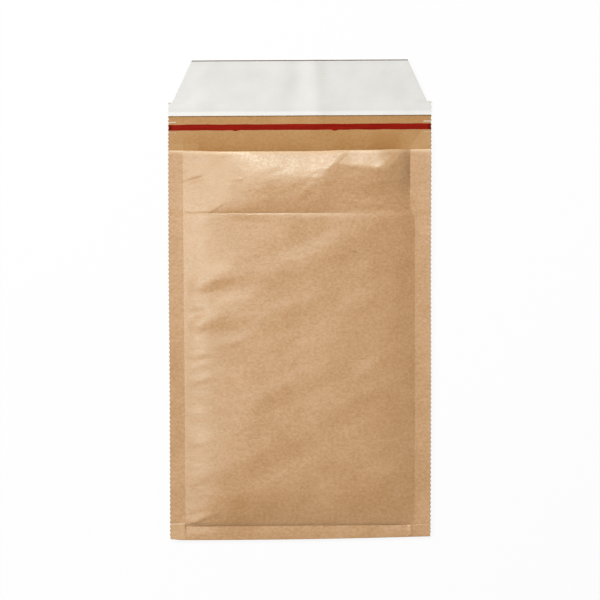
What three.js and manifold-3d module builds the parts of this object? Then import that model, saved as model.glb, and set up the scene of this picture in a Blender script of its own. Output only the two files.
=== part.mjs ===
// A self-seal padded mailer, lying on its back with the flap open and the pocket empty.
// One kraft sheet is folded at the bottom, hemmed at the mouth and welded down both sides.
// A folded bubble film lines the pocket. The flap carries an adhesive band under a white
// release liner, and a red tear tape crosses its root.
// Millimetres. +X across the mailer, +Y from the bottom fold to the flap's tip, +Z up.

import * as THREE from "three";
import { mergeVertices } from "three/addons/utils/BufferGeometryUtils.js";
import Module from "manifold-3d";

const { clamp, smoothstep } = THREE.MathUtils;

// Overall sizes
const width = 180; // over the tips of the cut teeth
const bodyLength = 265; // bottom fold to mouth
const flapLength = 62; // mouth to the flap's tip

// Sheets
const paper = 0.2; // kraft with its film face
const bubble = 3.2; // height of the bubble film
const glueGap = 0.3; // clearance between layers that lie on each other
const linerPaper = 0.15;
const tapeFilm = 0.1;
const glueFilm = 0.2;

// Welded and folded margins
const sealWidth = 10.2;
const sealThickness = 0.9; // both sheets and the film crushed between them
const sealLift = 3; // the seals hang this high over the table
const bottomStrip = 9.2; // flat strip between the bottom fold and the first crease

// Pocket
const pocketGap = 3.9; // free height inside the empty pocket, less the film's clearances
const mouthGap = 4.9; // free height between the back padding and the mouth's hem
const lipLayer = 0.8; // space inside the hem's fold
const sideRun = 24; // the panel puffs up over this distance from the side seals
const bottomRun = 24;
const mouthRun = 16;
const hemLength = 42.4; // turned in at the mouth, and ends at the upper crease
const hemRise = 2.4; // the stiff hem stands this much higher than the rest of the front
const hemRun = 24; // and reaches that height this far above the crease
const creaseDepth = 0.5;
const creasePinch = 1.3; // the padding is this much thinner under the crease
const creaseRun = 6; // the crease's groove fades out over this distance
const creaseSharpness = 1.6;
const seamSpace = 0.1; // what is left between the sheets where they meet the welds
const paddingShare = 0.45; // of the pocket's depth, the most that each side's padding takes
const crushedShare = 0.3; // of a squeezed space, the clearance on each side of the film
const filmTopFront = 3; // the film stops this far below the mouth in front
const filmTopBack = 8; // and this far below it at the back
const filmSide = 1.8; // side edge of the film to the seal
const filmBottom = 1.3; // fold of the film to the bottom crease
const filmTurn = 1.6; // depth of the film's own fold

// Flap
const rootRise = 13; // the back sheet starts to rise this far below the mouth
const linerStart = 24.2; // mouth to the liner's lower edge
const linerMargin = 0.7; // kraft left bare at the flap's tip
const shoulder = 33.3; // mouth to the step where the flap narrows
const shoulderInset = 3;
const tipInset = 16.4;
const flapRest = 1.2; // height of the flap over the table where the liner starts
const flapCurl = 1.5; // and how much higher its tip is
const glueStart = 30; // mouth to the lower edge of the adhesive band
const glueWidth = 25;
const glueMargin = 1.6; // ends of the adhesive band to the ends of the flap's tip
const tapeStart = 14.4; // mouth to the tape's lower edge
const tapeWidth = 4;

// Cut edges
const toothPitch = 2.2;
const toothDepth = 0.6;
const cornerCut = 2; // plain cut at the two bottom corners
const slitLength = 5.5;
const slitWidth = 0.4;
const slitOffset = 1.6; // tape's edge to the slit beside it
const uncut = 2; // the sheets are this much wider than the mailer before they are cut
const rowSpacing = 0.5; // no two rows of a sheet are closer than this

const length = bodyLength + flapLength;
const halfWidth = width / 2;
const sealEdge = halfWidth - sealWidth;
const sealTop = sealLift + sealThickness;
const filmLayer = bubble + 2 * glueGap;
const crownHeight = 2 * (paper + filmLayer) + paper + pocketGap;
const lipThickness = lipLayer + 2 * paper;
const lipHeight = paper + glueGap + bubble + mouthGap + lipThickness;
const hemHeight = crownHeight + hemRise;
const lipShare = (lipHeight - sealTop) / (hemHeight - sealTop);
const creaseLine = bodyLength - hemLength;
const linerEdge = bodyLength + linerStart;
const uncutHalf = halfWidth + uncut;
const foldRadius = sealThickness / 2; // of the bottom fold
const bladeHeight = 4 * hemHeight;

// 0 at the edge of a puffed panel, and 1 where it has run out to its full height.
function crowned(distance, run) {
  return 1 - (1 - clamp(distance / run, 0, 1)) ** 2;
}

function across(x) {
  return crowned(sealEdge - Math.abs(x), sideRun);
}

// Height of the side seals over the table. Past the mouth the flap's edges sink from them.
function edgeHeight(y) {
  return sealLift + (flapRest - sealLift) * smoothstep(y, bodyLength, linerEdge);
}

// Height of the mailer's underside.
function backFace(x, y) {
  const fade = 1 - smoothstep(y, bodyLength - rootRise, linerEdge);
  const puff = across(x) * crowned(y - bottomStrip, bottomRun) * fade;
  const curl = Math.max(0, y - linerEdge) / (length - linerEdge);
  return edgeHeight(y) * (1 - puff) + flapCurl * curl ** 2;
}

// The groove where the hem ends under the front sheet.
function groove(y) {
  return (1 - clamp(Math.abs(y - creaseLine) / creaseRun, 0, 1)) ** creaseSharpness;
}

// Height of the front sheet's outer face.
function frontFace(x, y) {
  const mouth = lipShare + (1 - lipShare) * crowned(bodyLength - y, mouthRun);
  const puff = across(x) * crowned(y - bottomStrip, bottomRun) * mouth;
  const crown = crownHeight + hemRise * crowned(y - creaseLine, hemRun);
  return sealTop + (crown - sealTop) * puff - creaseDepth * across(x) * groove(y);
}

// Depth that the padding has behind each kraft sheet: squeezed at the seals, and in front at the lip.
function padSpace(x, y) {
  const depth = frontFace(x, y) - backFace(x, y) - sealThickness;
  return Math.min(filmLayer, seamSpace + paddingShare * depth);
}

function frontPadSpace(x, y) {
  const atLip = lipLayer + (filmLayer - lipLayer) * crowned(bodyLength - lipThickness / 2 - y, mouthRun);
  const atCrease = filmLayer - creasePinch * groove(y);
  return Math.min(padSpace(x, y), atLip, atCrease);
}

// Clearance on each side of the film in a space of the given depth.
function filmGap(space) {
  return Math.min(glueGap, crushedShare * space);
}

// n + 1 values from a to b, closer together near a when ease is over 1.
function steps(a, b, n, ease = 1) {
  return Array.from({ length: n + 1 }, (_, i) => a + (b - a) * (i / n) ** ease);
}

function ascending(...lists) {
  const sorted = lists.flat().sort((a, b) => a - b);
  return sorted.filter((v, i) => i === 0 || v - sorted[i - 1] > 1e-6);
}

function arc([y, z], radius, from, to, n) {
  return steps(from, to, n).map((a) => [y + radius * Math.cos(a), z + radius * Math.sin(a)]);
}

// Rows along the body that both the kraft and the film follow.
const bottomRows = steps(bottomStrip, bottomStrip + bottomRun, 6, 1.4);
const creaseRows = [
  ...steps(creaseLine, creaseLine - creaseRun, 3, 1.5),
  ...steps(creaseLine, creaseLine + creaseRun, 2, 1.5),
  ...steps(creaseLine + hemRun, creaseLine + creaseRun, 3),
];
const mouthRows = steps(bodyLength, bodyLength - mouthRun, 5, 1.3);
const rootRows = steps(bodyLength - rootRise, linerEdge, 7);
const curlRows = steps(linerEdge, length, 4);

const halfStations = ascending(
  steps(0, sealEdge - sideRun, 3),
  steps(sealEdge, sealEdge - sideRun, 7, 1.5),
);
const mirrored = (list) => ascending(list.map((v) => -v), list);

const wasm = await Module();
wasm.setup();

// A closed BufferGeometry as a solid for cutting and joining.
function toSolid(geometry) {
  const bare = geometry.index ? geometry.toNonIndexed() : geometry.clone();
  bare.deleteAttribute("normal");
  bare.deleteAttribute("uv");
  const merged = mergeVertices(bare, 1e-5);
  return new wasm.Manifold(
    new wasm.Mesh({
      numProp: 3,
      vertProperties: Float32Array.from(merged.attributes.position.array),
      triVerts: Uint32Array.from(merged.index.array),
    }),
  );
}

function toGeometry(solid) {
  const { vertProperties, triVerts } = solid.getMesh();
  const geometry = new THREE.BufferGeometry();
  geometry.setAttribute("position", new THREE.BufferAttribute(Float32Array.from(vertProperties), 3));
  geometry.setIndex(new THREE.BufferAttribute(Uint32Array.from(triVerts), 1));
  geometry.computeVertexNormals();
  return geometry;
}

// A sheet through like sections. section(x) gives its two faces at station x, each a path of [y, z]
// points. The paths have equal counts, and the sheet lies to the left of the first one seen from +X.
function loft(stations, section) {
  const rings = stations.map((x) => {
    const [outer, inner] = section(x);
    return [...outer, ...inner.toReversed()].map(([y, z]) => [x, y, z]);
  });
  const n = rings[0].length;
  const triangles = [];
  for (let s = 0; s + 1 < rings.length; s++) {
    const [near, far] = [rings[s], rings[s + 1]];
    const outwards = Math.abs(stations[s + 1]) > Math.abs(stations[s]);
    for (let i = 0; i < n; i++) {
      const j = (i + 1) % n;
      // The diagonal depends on the place alone, so that both faces of a sheet bend alike.
      if (near[j][1] > near[i][1] === outwards) {
        triangles.push([near[i], near[j], far[j]], [near[i], far[j], far[i]]);
      } else {
        triangles.push([near[i], near[j], far[i]], [near[j], far[j], far[i]]);
      }
    }
  }
  const [first, last] = [rings[0], rings[rings.length - 1]];
  for (let i = 0; i + 1 < n / 2; i++) {
    const [j, k, l] = [i + 1, n - 2 - i, n - 1 - i];
    triangles.push([first[i], first[k], first[j]], [first[i], first[l], first[k]]);
    triangles.push([last[i], last[j], last[k]], [last[i], last[k], last[l]]);
  }
  const geometry = new THREE.BufferGeometry();
  geometry.setAttribute("position", new THREE.Float32BufferAttribute(triangles.flat(2), 3));
  return toSolid(geometry);
}

// A sheet that lies `lift` above the back sheet's inner face, from row to row.
function sheetOnBack(stations, rows, lift, thickness) {
  return loft(stations, (x) => {
    const under = rows.map((y) => [y, backFace(x, y) + paper + lift]);
    const over = under.map(([y, z]) => [y, z + thickness]);
    return [under, over];
  });
}

// The knife line of the blank: serrated sides, plain ends, and the flap's shoulders and taper.
function knife() {
  const shoulderY = bodyLength + shoulder;
  const side = [
    [halfWidth - cornerCut, -uncut],
    [halfWidth - toothDepth, cornerCut],
  ];
  const teeth = Math.floor((shoulderY - cornerCut) / toothPitch);
  for (let i = 0; i < teeth; i++) {
    const y = cornerCut + i * toothPitch;
    side.push([halfWidth, y + toothPitch / 2], [halfWidth - toothDepth, y + toothPitch]);
  }
  side.push([halfWidth - shoulderInset, shoulderY]);
  side.push([halfWidth - tipInset, length]);
  const right = side.map(([x, y]) => new THREE.Vector2(x, y));
  const left = side.map(([x, y]) => new THREE.Vector2(-x, y)).reverse();
  const outline = new THREE.Shape([...right, ...left]);
  const blade = new THREE.ExtrudeGeometry(outline, { depth: bladeHeight, bevelEnabled: false });
  return toSolid(blade.translate(0, 0, -bladeHeight / 2));
}

function slitCutter(side, y) {
  const box = new THREE.BoxGeometry(2 * slitLength, slitWidth, bladeHeight);
  return toSolid(box.translate(side * halfWidth, y, 0));
}

// The kraft sheet between the side seals: flap, back, bottom fold, front, lip and hem as one skin.
function kraftSection(x) {
  const foldZ = sealLift + foldRadius;
  const lip = paper + frontPadSpace(x, bodyLength) / 2; // radius of the mouth's fold
  const lipY = bodyLength - lip;
  const lipZ = frontFace(x, bodyLength) - lip;
  const up = Math.PI / 2;
  const back = ascending([foldRadius], bottomRows, rootRows, curlRows).reverse();
  const frontRows = ascending([foldRadius], bottomRows, creaseRows, mouthRows);
  const front = frontRows.filter((y) => y < bodyLength - lipThickness);
  const hem = front.filter((y) => y >= creaseLine).reverse();
  const face = (inset) => [
    ...back.map((y) => [y, backFace(x, y) + inset]),
    ...arc([foldRadius, foldZ], foldRadius - inset, 3 * up, up, 6).slice(1, -1),
    ...front.map((y) => [y, frontFace(x, y) - inset]),
    ...arc([lipY, lipZ], lip - inset, up, -up, 6),
    ...hem.map((y) => [y, frontFace(x, y) - 2 * paper - frontPadSpace(x, y) + inset]),
  ];
  return [face(0).reverse(), face(paper).reverse()];
}

// One welded side of the pocket, with the single back sheet running on beside the flap.
function sideSeal(from, to) {
  const weld = new THREE.Shape();
  weld.moveTo(bodyLength, sealLift);
  weld.lineTo(bodyLength, sealTop);
  weld.lineTo(foldRadius, sealTop);
  weld.absarc(foldRadius, sealLift + foldRadius, foldRadius, Math.PI / 2, 1.5 * Math.PI);
  const bar = new THREE.ExtrudeGeometry(weld, { depth: to - from, curveSegments: 3, bevelEnabled: false });
  const axes = [new THREE.Vector3(0, 1, 0), new THREE.Vector3(0, 0, 1), new THREE.Vector3(1, 0, 0)];
  bar.applyMatrix4(new THREE.Matrix4().makeBasis(...axes));
  bar.translate(from, 0, 0);
  const sheetRows = ascending([bottomStrip], rootRows, curlRows);
  return toSolid(bar).add(sheetOnBack([from, to], sheetRows, -paper, paper));
}

function kraftEnvelope() {
  const sheet = loft(mirrored(halfStations), kraftSection);
  const seals = sideSeal(sealEdge, uncutHalf).add(sideSeal(-uncutHalf, -sealEdge));
  let envelope = sheet.add(seals).intersect(knife());
  const slits = [tapeStart - slitOffset, tapeStart + tapeWidth + slitOffset];
  for (const offset of slits) {
    for (const side of [-1, 1]) {
      envelope = envelope.subtract(slitCutter(side, bodyLength + offset));
    }
  }
  return envelope;
}

// The padding: one web of bubble film, folded at the bottom of the pocket.
function bubbleLining() {
  const start = bottomStrip + filmBottom;
  const turned = start + filmTurn;
  const rowsTo = (end, ...lists) => {
    const between = lists.flat().filter((y) => y > turned + rowSpacing && y < end - rowSpacing);
    return ascending([start, end], between);
  };
  const back = rowsTo(bodyLength - filmTopBack, bottomRows, rootRows).reverse();
  const front = rowsTo(bodyLength - filmTopFront, bottomRows, creaseRows, mouthRows);
  const section = (x) => {
    const backSpace = (y) => padSpace(x, y);
    const frontSpace = (y) => frontPadSpace(x, y);
    const onBack = (y) => backFace(x, y) + paper;
    const underFront = (y) => frontFace(x, y) - paper;
    const outer = [
      ...back.map((y) => [y, onBack(y) + filmGap(backSpace(y))]),
      ...front.map((y) => [y, underFront(y) - filmGap(frontSpace(y))]),
    ];
    const inner = [
      ...back.map((y) => [Math.max(y, turned), onBack(y) + backSpace(y) - filmGap(backSpace(y))]),
      ...front.map((y) => [Math.max(y, turned), underFront(y) - frontSpace(y) + filmGap(frontSpace(y))]),
    ];
    return [outer.reverse(), inner.reverse()];
  };
  const edge = sealEdge - filmSide;
  const stations = ascending([edge], halfStations.filter((x) => x < edge - rowSpacing));
  return loft(mirrored(stations), section);
}

function tearTape() {
  const start = bodyLength + tapeStart;
  const end = start + tapeWidth;
  const rows = ascending([start, end], rootRows.filter((y) => y > start && y < end));
  const stations = mirrored([...halfStations, uncutHalf]);
  return sheetOnBack(stations, rows, glueGap, tapeFilm).intersect(knife());
}

function adhesiveBand() {
  const start = bodyLength + glueStart;
  const rows = steps(start, start + glueWidth, 3);
  const half = halfWidth - tipInset - glueMargin;
  return sheetOnBack([-half, half], rows, glueGap, glueFilm);
}

function releaseLiner() {
  const rows = steps(linerEdge, length - linerMargin, 5);
  const lift = 2 * glueGap + glueFilm;
  return sheetOnBack([-uncutHalf, uncutHalf], rows, lift, linerPaper).intersect(knife());
}

function part(name, solid, color, roughness) {
  const material = new THREE.MeshStandardMaterial({ color, roughness, metalness: 0, flatShading: true });
  const mesh = new THREE.Mesh(toGeometry(solid), material);
  mesh.name = name;
  return mesh;
}

const mailer = new THREE.Group();
mailer.add(
  part("kraft_envelope", kraftEnvelope(), 0xcfa77c, 0.85),
  part("bubble_lining", bubbleLining(), 0xdfe6e8, 0.35),
  part("tear_tape", tearTape(), 0x95201a, 0.4),
  part("adhesive_band", adhesiveBand(), 0xe9e2cf, 0.3),
  part("release_liner", releaseLiner(), 0xe6e5e0, 0.55),
);
mailer.position.y = -length / 2;

export default mailer;
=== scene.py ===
"""A padded mailer, empty, lying on its back with the flap open.

The pieces are made in millimetres, with y measured from the bottom fold, and are set down in
the CAD frame in metres. Every sheet follows the same two faces, back_face and front_face.
"""

import math

import bpy
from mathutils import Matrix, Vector, noise


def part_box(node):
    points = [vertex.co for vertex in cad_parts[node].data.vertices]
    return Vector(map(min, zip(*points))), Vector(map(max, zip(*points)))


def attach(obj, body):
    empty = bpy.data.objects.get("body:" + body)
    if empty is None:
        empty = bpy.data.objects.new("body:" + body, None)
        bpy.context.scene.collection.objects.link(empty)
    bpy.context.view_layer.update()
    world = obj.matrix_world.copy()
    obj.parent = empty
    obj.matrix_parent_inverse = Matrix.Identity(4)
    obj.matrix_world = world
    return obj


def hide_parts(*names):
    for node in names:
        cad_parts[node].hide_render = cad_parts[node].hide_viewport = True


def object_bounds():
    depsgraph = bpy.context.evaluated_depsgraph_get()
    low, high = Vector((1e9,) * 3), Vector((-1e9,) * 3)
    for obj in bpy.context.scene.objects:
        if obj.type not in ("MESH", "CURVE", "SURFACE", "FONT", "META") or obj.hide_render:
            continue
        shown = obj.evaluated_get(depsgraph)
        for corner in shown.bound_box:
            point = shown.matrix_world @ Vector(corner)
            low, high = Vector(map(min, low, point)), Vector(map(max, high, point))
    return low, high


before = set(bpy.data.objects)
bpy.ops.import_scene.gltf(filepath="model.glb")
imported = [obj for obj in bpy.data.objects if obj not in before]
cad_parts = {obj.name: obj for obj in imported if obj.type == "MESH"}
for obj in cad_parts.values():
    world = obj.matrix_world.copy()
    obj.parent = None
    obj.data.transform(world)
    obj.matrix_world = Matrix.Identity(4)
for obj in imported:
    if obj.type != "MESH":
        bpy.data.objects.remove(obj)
cad_low, cad_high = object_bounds()

bl_info = {
    "name": "Padded Mailer",
    "version": (1, 0, 0),
    "blender": (4, 5, 0),
    "location": "3D View > Sidebar > Mailer",
    "description": "Builds a kraft mailer with its bubble lining, liner and tear tape",
    "category": "Add Mesh",
}

METRES = 0.001
BODY_LENGTH = 0.265

# Faces of the mailer. These sizes are the solids' own, but for a lower hem and a higher mouth.
SEAL_LIFT = 3
BOTTOM_STRIP = 9.2
POCKET_GAP = 3.9
MOUTH_GAP = 5.9
GLUE_GAP = 0.3
LIP_LAYER = 0.8
MOUTH_RUN = 16
BACK_RUN = 24
HEM_RISE = 2.2
HEM_RIGHT_RISE = 0.6
HEM_RUN = 24
CREASE_PINCH = 1.3
PADDING_SHARE = 0.45
CRUSHED_SHARE = 0.3
ROOT_RISE = 13
FLAP_REST = 1.2
FLAP_CURL = 1.5
SHOULDER = 33.3
SHOULDER_INSET = 3
TIP_INSET = 16.4

# The weld is as thick as the sheets that are crushed in it, and thinner than in the solids
WELD_FILM = 0.06
WELD = 0.52
HEM_WELD = 0.2
SEAL_CURL = 0.25
RIGHT_CURL = 0.45

# How far the welds reach past their nominal width into the pocket: at the left, at the bottom of
# the left, at the right, and beside the hem at the right
LEFT_WELD = 0.2
LEFT_LOW_WELD = 0.75
RIGHT_WELD = 1.15
HEM_RIGHT_WELD = 4.5

# How the panel rises from its edges: a roll and a long soft pillow, each with its share of the
# height and the distance that it takes. The left side has an even bevel in place of the roll,
# with its share, its run and how softly it turns. Beside the hem it leaves the weld at one slope.
# The solids rise over a shorter distance.
LEFT_RISE = ((0.78, 74),)
LEFT_BEVEL = (0.22, 14, 6)
RIGHT_RISE = ((0.32, 30), (0.68, 74))
HEM_RIGHT_PILLOW = ((0.2, 30), (0.8, 74))
BOTTOM_RISE = ((0.06, 2.2), (0.39, 26), (0.55, 76))
HEM_LEFT_SLOPE = 0.31

# The hem rolls down to the lip. At the right it falls to it in one flat facet, and both the lip
# and the facet start steeply from the weld.
ROLL_RUN = 25
FACET_RUN = 10
FACET_ROUND = 3
FACET_SIDE = 9
MOUTH_SIDE = 22

# The crease where the hem ends: a sharp groove, wider above than below
CREASE_ABOVE = 5
CREASE_BELOW = 3
CREASE_DEPTH = 0.32

# Cut edges. The teeth are coarser than in the solids.
TOOTH_PITCH = 2.97
TOOTH_DEPTH = 0.7
CORNER_CUT = 2
SLIT_LENGTH = 5.5
SLIT_WIDTHS = (0.12, 0.36)
SLIT_OFFSET = 1.6
TAPE_SPURS = (-44, 24)
LINER_LIFT = 0.6

# How far the sheets lie askew. A slant is what the right edge gains on the middle.
NARROWED = 0.011
SHIFTED = 0.42
MOUTH_SLANT = 0.5
MOUTH_SAG = 0.4
CREASE_SLANT = 0.17
CREASE_DROP = 0.29
BOTTOM_SLANT = 0.76
BOTTOM_LIFT = 0.2
FOLD_SLANT = 0.57
FOLD_BOW = 0.72
FOLD_LEFT_END = 0.7

# Bubble film
BUBBLE_PITCH = 10.6
BUBBLE_RADIUS = 4.7
BUBBLE_SIDES = 10
FILM_SHEET = 0.06
FILM_TOP_FRONT = 3
FILM_TOP_BACK = 8
FILM_BOTTOM = 1.3
BUBBLE_MARGIN = 5
FILM_GAP = 0.12

# Browns of the painted shade along the flap's cut tip and in the bottoms of the notches, and of the
# splinter in the pulp
TIP_SHADE_BAND = (0.1619, 0.1625)
TIP_SHADE_COLOUR = (0.13, 0.085, 0.05, 1)
NOTCH_SHADE_COLOUR = (0.17, 0.125, 0.085, 1)
SPLINTER_BROWN = (0.16, 0.085, 0.035, 1)

# The stage, in metres. A lamp has its direction, distance and diameter, and the share of full
# white that it gives a flat white sheet at the origin.
LAMPS = {
    "key": ((-0.12, 0.48, 0.87), 2, 0.8, 0.56),
    "side": ((-0.56, 0.06, 0.83), 1.8, 0.75, 0.28),
}
SKY_LEVEL = 0.16
FLOOR_SIZE = 6
FLOOR_LEVEL = -0.0004
FLOOR_TONE = 0.93
FLOOR_GLOW = 0.9
CAMERA_PLACE = (0.00017, -0.0002, 2.0035)
CAMERA_LENS = 176
CAMERA_SENSOR = 36

# Folds that the paper has kept, each a line from start to end in millimetres. A fold fades out
# over its reach to both sides and towards its two ends. Sharp ones are creases.
WAVES = [
    # start, end, reach, height
    ((-46, 172), (52, 210), 13, 0.5),
    ((-44, 140), (26, 170), 11, 0.32),
    ((14, 148), (72, 174), 11, 0.34),
    ((-46, 88), (40, 126), 11, 0.42),
    ((34, 108), (62, 124), 9, 0.4),
    ((10, 70), (74, 104), 12, -0.45),
    ((-62, 32), (18, 68), 12, -0.34),
    ((-58, 18), (40, 62), 13, 0.2),
    ((30, 40), (76, 62), 10, -0.2),
]
PLEATS = [
    ((-78, 172), (-44, 184), 9, 0.7),
    ((-72, 164), (-26, 176), 9, -0.5),
    ((-78, 143), (-50, 156), 7, 0.6),
    ((-72, 136), (-26, 147), 8, -0.5),
    ((-80, 153), (-62, 157), 3.5, -0.3),
    ((-80, 124), (-60, 128), 3.5, 0.22),
    ((-81, 106), (-58, 112), 4, 0.3),
    ((-80, 86), (-64, 88), 3.5, 0.14),
    ((-80, 66), (-60, 70), 5, 0.16),
    ((-79, 41), (-60, 46), 6, 0.14),
]
CREASES = [
    ((34, 268), (8, 241), 7, 0.25),
    ((28, 257), (66, 251), 5, 0.35),
    ((74, 268), (54, 248), 7, 0.45),
    ((-84, 260), (-56, 254), 5, -0.3),
    ((-82, 243.5), (-62, 247.5), 2.6, -0.35),
    ((-47, 245.4), (-40, 246.8), 3, 0.18),
    ((-84, 7), (-54, 22), 4, 0.6),
    ((30, 225), (66, 227.5), 2, -0.12),
    ((38, 236.5), (77, 237.5), 3.4, 0.22),
]

# Crisp folds, too narrow for the mesh, that the outer face's bump adds. Each has a start, an end,
# the reach to its left and to its right, its height, and the share of its length over which it
# fades in and out.
CRISP_FOLDS = [
    ((-79.5, 222.6), (78.4, 222.6), 1.5, 0.8, -0.13, 0.01, 0.01),
    ((4, 224.3), (78.4, 224.3), 0.7, 0.6, -0.06, 0.3, 0.02),
    ((-79.2, 9.2), (78.6, 9.2), 1.2, 4, -0.12, 0.01, 0.01),
    ((-79.2, 9.2), (-50, 9.2), 2.8, 5, -0.5, 0.02, 0.8),
    ((50, 9.2), (78.6, 9.2), 1, 3.5, -0.2, 0.4, 0.02),
    ((-92, 10.8), (-79.3, 10.8), 0.6, 5, 0.17, 0.02, 0.03),
    ((78.6, 9.9), (92, 9.9), 0.7, 0.7, -0.1, 0.05, 0.02),
    ((76, 0.5), (76, 9.4), 2.6, 1.6, 0.36, 0.1, 0.1),
    ((-80.5, 9.6), (-56, 17.6), 6, 0.9, 0.3, 0.04, 0.7),
    ((-81, 243), (-62, 248.5), 2, 3.2, -0.18, 0.1, 0.5),
    ((-66, 221), (-46, 233), 5, 1.8, 0.16, 0.2, 0.5),
    ((34, 268), (13, 246), 3, 3, 0.15, 0.2, 0.5),
    ((76, 270), (47, 248), 6, 3, 0.26, 0.2, 0.3),
    ((24, 256.5), (54, 250), 4, 2.8, 0.12, 0.3, 0.3),
    ((-47, 245), (-37, 246.2), 1.6, 1.4, 0.12, 0.3, 0.3),
    ((46, 243), (62, 245), 2, 2.2, 0.1, 0.3, 0.3),
]


def clamp(value, low=0.0, high=1.0):
    return min(high, max(low, value))


def smoothstep(value, start, end):
    t = clamp((value - start) / (end - start))
    return t * t * (3 - 2 * t)


def crowned(distance, run):
    """0 at the edge of a puffed panel, 1 where it has run out to its full height."""
    return 1 - (1 - clamp(distance / run)) ** 2


def spread(start, end, count):
    return [start + (end - start) * i / count for i in range(count + 1)]


def rise(distance, parts):
    """How far a panel has risen, from its parts' shares and runs."""
    return sum(share * crowned(distance, run) for share, run in parts)


def mitred(first, second):
    """Two rises that meet on a soft diagonal at the corner, as the pillow's do."""
    return max(0, 1 - ((1 - first) ** 6 + (1 - second) ** 6) ** (1 / 6))


def facet(distance, run, turn):
    """Climbs evenly to 1 over run, and is rounded off over turn to both sides of there."""
    if distance <= run - turn:
        return max(0, distance / run)
    return 1 - max(0, run + turn - distance) ** 2 / (4 * turn * run)


def bell(x, middle, reach):
    return math.exp(-(((x - middle) / reach) ** 2))


def fold(x, y, start, end, reach, height, sharp=False):
    """Height that one fold adds at (x, y)."""
    along = Vector(end) - Vector(start)
    offset = Vector((x - start[0], y - start[1]))
    t = offset.dot(along) / along.length_squared
    if not 0 < t < 1:
        return 0
    away = abs(offset.cross(along)) / along.length / reach
    if away >= 1:
        return 0
    profile = (1 - away) ** 1.7 if sharp else (1 - away * away) ** 2
    return height * profile * (1 - (2 * t - 1) ** 2)


def wobble(x, y, length, width, turn, seed):
    """Perlin noise drawn out in one direction, about -1 to 1."""
    along = x * math.cos(turn) + y * math.sin(turn)
    across = y * math.cos(turn) - x * math.sin(turn)
    return noise.noise(Vector((along / length, across / width, seed)))


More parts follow.
